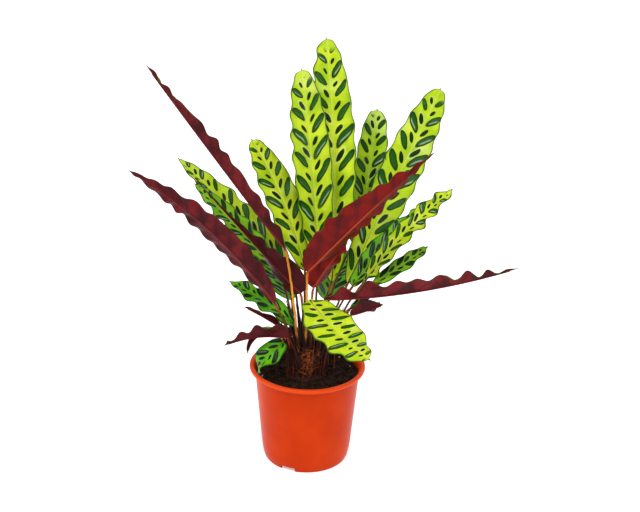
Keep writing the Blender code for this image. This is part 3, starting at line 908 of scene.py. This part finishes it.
pot = {
    "height": 0.123,
    "rimRadius": 0.070,
    "rimInnerRadius": 0.065,
    "lipHeight": 0.0055,
    "wallTopRadius": 0.0635,
    "wallLowRadius": 0.0545,
    "wallLowZ": 0.017,
    "footRadius": 0.0505,
    "footWidth": 0.0020,
    "wall": 0.0016,
    "floorZ": 0.0060,
    "centreFootRadius": 0.0085,
    "turnSteps": 144,
    "notchAngles": (246, 6, 126),
    "notchWidth": 0.0185,
    "notchHeight": 0.0058,
    "notchDepth": 0.012,
    "drainRadius": 0.0045,
    "drainCircle": 0.028,
    "drainCount": 4,
}


def wallRadius(z):
    share = (z - pot["wallLowZ"]) / (pot["height"] - pot["lipHeight"] - pot["wallLowZ"])
    return mixed((pot["wallLowRadius"], pot["wallTopRadius"]), share)


def soilHeight(x, y):
    spot = Vector((x, y, 0))
    rough = noise.noise(spot * 95) + 0.6 * noise.noise(spot * 260 + up) + 0.35 * noise.noise(spot * 620)
    toCrown = (Vector((x, y)) - Vector(crown["centre"])).length
    return soil["top"] + soil["relief"] * rough + soil["heap"] * exp(-(toCrown / soil["heapSpread"]) ** 2)


def makeSoil(material, grains):
    luck = random.Random("soil")
    inset = pot["wall"] + soil["gap"]
    edgeRadius = wallRadius(soil["top"]) - inset
    lowZ = pot["floorZ"] + pot["wall"] + 0.0004
    profile = [(edgeRadius * i / soil["rings"], soil["top"]) for i in range(soil["rings"] + 1)]
    profile += [(wallRadius(z) - inset, z) for z in soil["wallLevels"]]
    profile += [(pot["footRadius"] - pot["footWidth"] - 2 * soil["gap"], lowZ + 0.002), (0, lowZ)]
    bm = turned(profile, soil["turnSteps"])
    for vert in bm.verts:
        if vert.co.z > soil["top"] - 0.0005:
            vert.co.z = soilHeight(vert.co.x, vert.co.y)
    for each in range(soil["crumbs"]):
        radius = edgeRadius * sqrt(luck.random()) * 0.98
        angle = luck.uniform(0, 2 * pi)
        size = mixed(soil["crumbSize"], luck.random() ** 2.2)
        spot = onRing(radius, angle)
        spot.z = soilHeight(spot.x, spot.y) + size * 0.3
        turn = Matrix.Rotation(luck.uniform(0, 6), 4, (1, luck.random(), luck.random()))
        stretch = (size * luck.uniform(0.7, 1.3), size * luck.uniform(0.7, 1.3), size, 1)
        shape = Matrix.Translation(spot) @ turn @ Matrix.Diagonal(stretch)
        made = bmesh.ops.create_icosphere(bm, subdivisions=1, radius=1, matrix=shape)["verts"]
        for vert in made:
            vert.co += Vector((luck.gauss(0, 1), luck.gauss(0, 1), luck.gauss(0, 1))) * size * 0.14
    addPiece("soil_bed", bm, [material], ["potting_soil"], sharpAngle=55)

    bm = bmesh.new()
    for each in range(soil["grains"]):
        radius = luck.uniform(*soil["grainRing"])
        angle = luck.uniform(0, 2 * pi)
        size = luck.uniform(*soil["grainSize"])
        spot = onRing(radius, angle)
        spot.z = soilHeight(spot.x, spot.y) + size * 0.6
        shape = Matrix.Translation(spot)
        made = bmesh.ops.create_icosphere(bm, subdivisions=2, radius=size, matrix=shape)["verts"]
        for vert in made:
            vert.co += (vert.co - spot) * 0.35 * noise.noise(vert.co * 1800)
    addPiece("perlite_grains", bm, [grains], [])


def potMaterial():
    made = Finish("pot_plastic", IOR=1.48, Specular_IOR_Level=0.05)
    place = made.place()
    cloudy = made.cloud(place, 26, detail=4)
    streaks = made.cloud(made.stretched(place, 0.12), 70, detail=3)
    fine = made.cloud(place, 900, detail=2)
    height = made.add("ShaderNodeSeparateXYZ", {}, {"Vector": place}, give="Z")
    colour = made.blend(cloudy.ease(0.3, 0.7), paint(168, 43, 1), paint(182, 51, 3))
    colour = made.blend(0.4 * streaks.ease(0.35, 0.7), colour, paint(176, 47, 2))
    # painted highlight: the lip and rim top are painted a lighter orange
    colour = made.blend(0.7 * height.ease(0.1165, 0.119), colour, paint(214, 70, 20))
    dirt = made.cloud(place, 210, detail=5, roughness=0.7).ease(0.66, 0.74) * (1 - height.ease(0.004, 0.03))
    inside = made.cloud(place, 300, detail=4).ease(0.62, 0.72) * height.ease(0.108, 0.113)
    colour = made.blend(0.35 * dirt, colour, paint(120, 70, 46))
    colour = made.blend(0.12 * inside, colour, paint(90, 50, 34))
    rough = 0.22 + 0.14 * cloudy + 0.05 * fine
    bumps = fine + 2 * streaks
    return made.show(Base_Color=colour, Roughness=rough, Normal=made.relief(bumps, 0.00008, 0.5))


def roundCorner(before, corner, after, radius, steps=4):
    # A soft corner between two straight stretches of a profile.
    corner = Vector(corner)
    first = corner + (Vector(before) - corner).normalized() * radius
    last = corner + (Vector(after) - corner).normalized() * radius
    shares = [i / steps for i in range(steps + 1)]
    return [tuple(first.lerp(corner, share).lerp(corner.lerp(last, share), share)) for share in shares]


def makePot(material):
    top, lip = pot["height"], pot["height"] - pot["lipHeight"]
    foot, inFoot = pot["footRadius"], pot["footRadius"] - pot["footWidth"]
    wall, floorZ, centre = pot["wall"], pot["floorZ"], pot["centreFootRadius"]
    corners = [                              # radius, height and how round the corner is
        (0, 0, 0), (centre, 0, 0.001), (centre + 0.003, floorZ, 0.0015), (inFoot, floorZ, 0.0006),
        (inFoot, 0, 0.0004), (foot, 0, 0.0006), (foot + 0.0014, 0.003, 0.0014),
        (foot + 0.0028, 0.009, 0.003), (pot["wallLowRadius"], pot["wallLowZ"], 0.004),
        (wallRadius(lip - 0.004), lip - 0.004, 0.0012),
        (pot["wallTopRadius"] + 0.001, lip - 0.0012, 0.0012),
        (pot["rimRadius"] - 0.003, lip + 0.0004, 0.0012), (pot["rimRadius"], lip + 0.0008, 0.0022),
        (pot["rimRadius"], top, 0.0022), (pot["rimInnerRadius"], top, 0.0020),
        (wallRadius(lip) - wall, lip - 0.001, 0.0012), (wallRadius(lip - 0.006) - wall, lip - 0.006, 0.001),
        (pot["wallLowRadius"] - wall, pot["wallLowZ"], 0.003), (inFoot, floorZ + wall, 0.0015),
        (centre + 0.002, floorZ + wall, 0.0015), (centre - 0.001, wall, 0.001), (0, wall, 0),
    ]
    profile = [corners[0][:2]]
    for before, corner, after in zip(corners, corners[1:], corners[2:]):
        profile += roundCorner(before[:2], corner[:2], after[:2], corner[2])
    profile.append(corners[-1][:2])
    bm = turned(profile, pot["turnSteps"])
    piece = addPiece("nursery_pot", bm, [material], ["pot"], sharpAngle=38)

    cutters = bmesh.new()
    for angle in pot["notchAngles"]:
        place = (Matrix.Rotation(radians(angle), 4, "Z") @ Matrix.Translation((foot, 0, 0))
                 @ Matrix.Diagonal((pot["notchDepth"], pot["notchWidth"], 2 * pot["notchHeight"], 1)))
        bmesh.ops.create_cube(cutters, size=1, matrix=place)
    for number in range(pot["drainCount"]):
        angle = 2 * pi * (number + 0.5) / pot["drainCount"]
        place = Matrix.Translation(onRing(pot["drainCircle"], angle, floorZ + wall / 2))
        bmesh.ops.create_cone(cutters, cap_ends=True, segments=32, radius1=pot["drainRadius"],
                              radius2=pot["drainRadius"], depth=4 * wall, matrix=place)
    cutter = addObject("cutters", meshFrom("cutters", cutters))
    cut = piece.modifiers.new("openings", "BOOLEAN")
    cut.operation = "DIFFERENCE"
    cut.solver = "EXACT"
    cut.object = cutter
    bpy.context.view_layer.update()
    graph = bpy.context.evaluated_depsgraph_get()
    opened = bpy.data.meshes.new_from_object(piece.evaluated_get(graph))
    piece.modifiers.clear()
    piece.data = opened
    bpy.data.objects.remove(cutter)


# The camera, light and floor.
studio = {
    "cameraPlace": (0.0121, -1.400, 0.857),
    "pitch": 22.95,              # degrees down
    "tilt": 1.37,                # degrees of roll
    "lens": 73.2,
    "worldLight": 0.55,
    "sunTurn": (36, 0, -20),     # degrees
    "sunStrength": 1.85,
    "sunSpread": 50,
    "lamps": {                   # place, width, height and power
        "softbox_left": ((-1.1, -1.0, 1.5), 0.2, 0.2, 6),
        "strip_left": ((-1.3, 0.45, 0.35), 0.16, 0.96, 6),
        "strip_right": ((1.3, 0.35, 0.35), 0.12, 0.72, 4),
        "softbox_front": ((0.25, -1.5, 1.6), 0.2, 0.2, 5),
        "softbox_right": ((1.3, -0.6, 1.1), 0.2, 0.2, 5),
        "softbox_back": ((0.3, 1.4, 1.3), 0.6, 0.6, 5),
    },
    "aim": (0, 0, 0.25),         # what the lamps look at
    "floorSize": 30,
    "floorWhite": (0.9, 0.9, 0.9, 1),
    "floorGlow": 0.30,
}


def setCamera():
    lens = bpy.data.cameras.new("camera")
    lens.lens = studio["lens"]
    lens.sensor_width = 36
    lens.clip_end = 60
    pitch, tilt = radians(studio["pitch"]), radians(studio["tilt"])
    forward = Vector((0, cos(pitch), -sin(pitch)))
    above = Vector((0, sin(pitch), cos(pitch)))
    right = Vector((1, 0, 0))
    turnedRight = right * cos(tilt) + above * sin(tilt)
    turnedUp = above * cos(tilt) - right * sin(tilt)
    turn = Matrix((turnedRight, turnedUp, -forward)).transposed().to_4x4()
    camera = addObject("camera", lens)
    camera.matrix_world = Matrix.Translation(studio["cameraPlace"]) @ turn
    bpy.context.scene.camera = camera


def setLights():
    world = bpy.data.worlds.new("studio")
    world.use_nodes = True
    sockets = world.node_tree.nodes["Background"].inputs
    sockets["Color"].default_value = (1, 1, 1, 1)
    sockets["Strength"].default_value = studio["worldLight"]
    bpy.context.scene.world = world
    bpy.context.scene.view_settings.view_transform = "Standard"
    sun = bpy.data.lights.new("sun", "SUN")
    sun.energy = studio["sunStrength"]
    sun.angle = radians(studio["sunSpread"])
    addObject("sun", sun).rotation_euler = [radians(angle) for angle in studio["sunTurn"]]
    for name, (place, width, height, power) in studio["lamps"].items():
        lamp = bpy.data.lights.new(name, "AREA")
        lamp.shape = "RECTANGLE"
        lamp.size = width
        lamp.size_y = height
        lamp.energy = power
        box = addObject(name, lamp)
        box.location = place
        box.rotation_euler = (Vector(place) - Vector(studio["aim"])).to_track_quat("Z", "Y").to_euler()


def layFloor():
    bm = bmesh.new()
    bmesh.ops.create_grid(bm, x_segments=2, y_segments=2, size=studio["floorSize"])
    mesh = meshFrom("floor", bm)
    plain = Finish("floor_white", Base_Color=studio["floorWhite"], Roughness=0.9,
                   Emission_Color=(1, 1, 1, 1), Emission_Strength=studio["floorGlow"])
    mesh.materials.append(plain.material)
    addObject("floor", mesh)


setCamera()
setLights()
layFloor()
print("studio ready")
makePot(potMaterial())
print("pot ready")
makeSoil(soilMaterial(), grainMaterial())
print("soil ready")
sheathFinish = sheathMaterial()
growCrown(sheathFinish)
growSheaths(sheathFinish)
growFibres(fibreMaterial())
print("crown ready")
stalkFinish = stalkMaterial()
leafFinishes = [leafTopMaterial(), leafUnderMaterial()]
for leafName, leafPlan in leaves.items():
    growStalk(leafName, leafPlan, stalkFinish)
    growBlade(leafName, leafPlan, leafFinishes)
print("leaves ready:", len(leaves))
